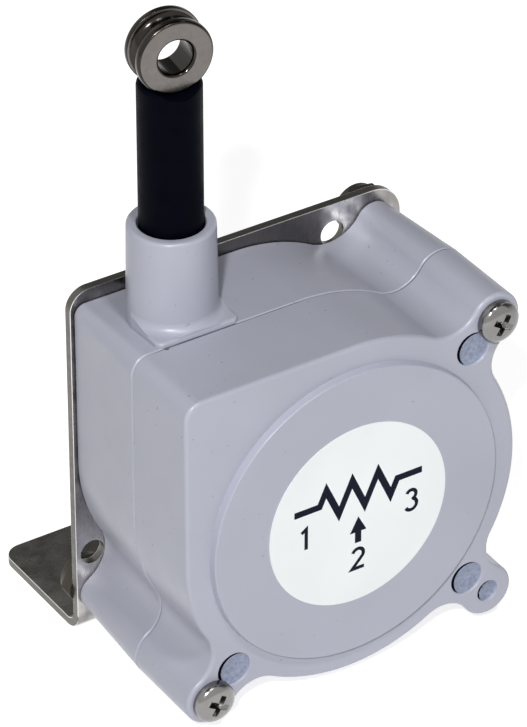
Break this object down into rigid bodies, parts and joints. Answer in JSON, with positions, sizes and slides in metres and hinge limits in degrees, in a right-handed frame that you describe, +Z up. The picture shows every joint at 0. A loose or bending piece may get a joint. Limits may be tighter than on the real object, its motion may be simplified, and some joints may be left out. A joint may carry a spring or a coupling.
{
  "type": "draw wire encoder",
  "caption": "Draw wire encoder: round two-shell housing on a bent steel bracket, with a snout, a black sleeve and an eyelet on a sprung wire that turns a potentiometer.",
  "frame": {"origin": "centre of the two bolt holes in the bracket's foot, on the foot's underside", "axes": "+X to the right seen from the label side, +Y from the label side to the back along the spool's axis, +Z up along the wire"},
  "size_m": [0.0606, 0.0595, 0.1135],
  "materials": {
    "bracket_steel": "bright rolled stainless sheet",
    "housing": "satin moulded polycarbonate, bluish light grey",
    "label": "smooth printed label",
    "screw_steel": "bright stainless",
    "nut_steel": "dark passivated",
    "eyelet_steel": "turned stainless",
    "shaft_steel": "ground stainless",
    "spring_steel": "blued spring strip",
    "wire": "nylon coated stranded stainless wire",
    "nylon": "natural nylon",
    "guide": "natural acetal",
    "spool_plastic": "natural acetal",
    "sleeve_rubber": "smooth black rubber",
    "bronze": "sintered bronze",
    "brass": "plain",
    "pot_plastic": "dark blue moulded plastic",
    "element": "conductive plastic on a wound mandrel"
  },
  "bodies": {
    "housing": {"mounting_bracket": "bracket_steel", "rear_housing": "housing", "front_housing": "housing", "label": "label", "cover_screws": "screw_steel", "rear_nuts": "nut_steel", "nut_inserts": "nylon", "assembly_pins": "housing", "wire_guide": "guide", "power_spring": "spring_steel", "spring_cup": "bracket_steel", "spring_cover": "bracket_steel", "front_bearing": "bronze", "pot_bushing": "screw_steel", "pot_case": "pot_plastic", "pot_terminals": "brass", "pot_nut": "screw_steel", "pot_lock_washer": "screw_steel", "pot_element": "element"},
    "wire_lead": {"draw_wire": "wire"},
    "wire_end": {"eyelet": "eyelet_steel", "wire_loop": "wire", "crimp_ferrule": "brass", "rubber_sleeve": "sleeve_rubber"},
    "spool_set": {"spool": "spool_plastic", "wound_wire": "wire", "wire_anchor": "brass", "hub_set_screw": "nut_steel", "pot_shaft": "shaft_steel"},
    "wiper": {"pot_wiper": "brass"}
  },
  "joints": [
    {"name": "wire_pull", "type": "slide", "parent": "housing", "child": "wire_lead", "axis": [0, 0, 1], "range_m": [0, 0.3175], "stiffness_N_per_m": 1.26, "springref_m": -1.35, "deforming": ["draw_wire"]},
    {"name": "eyelet_swivel", "type": "hinge", "parent": "wire_lead", "child": "wire_end", "pos_m": [-0.01773, -0.0235, 0.10755], "axis": [0, 0, 1], "range_deg": [-180, 180]},
    {"name": "spool_turn", "type": "hinge", "parent": "housing", "child": "spool_set", "pos_m": [0, -0.0235, 0.0328], "axis": [0, 1, 0], "range_deg": [0, 1030], "deforming": ["wound_wire", "power_spring"]},
    {"name": "wiper_travel", "type": "slide", "parent": "spool_set", "child": "wiper", "axis": [0, 1, 0], "range_m": [0, 0.0127]}
  ],
  "couplings": [
    {"joint": "spool_turn", "follows": "wire_pull", "rad_per_m": 56.4},
    {"joint": "wiper_travel", "follows": "wire_pull", "ratio": 0.039496}
  ]
}
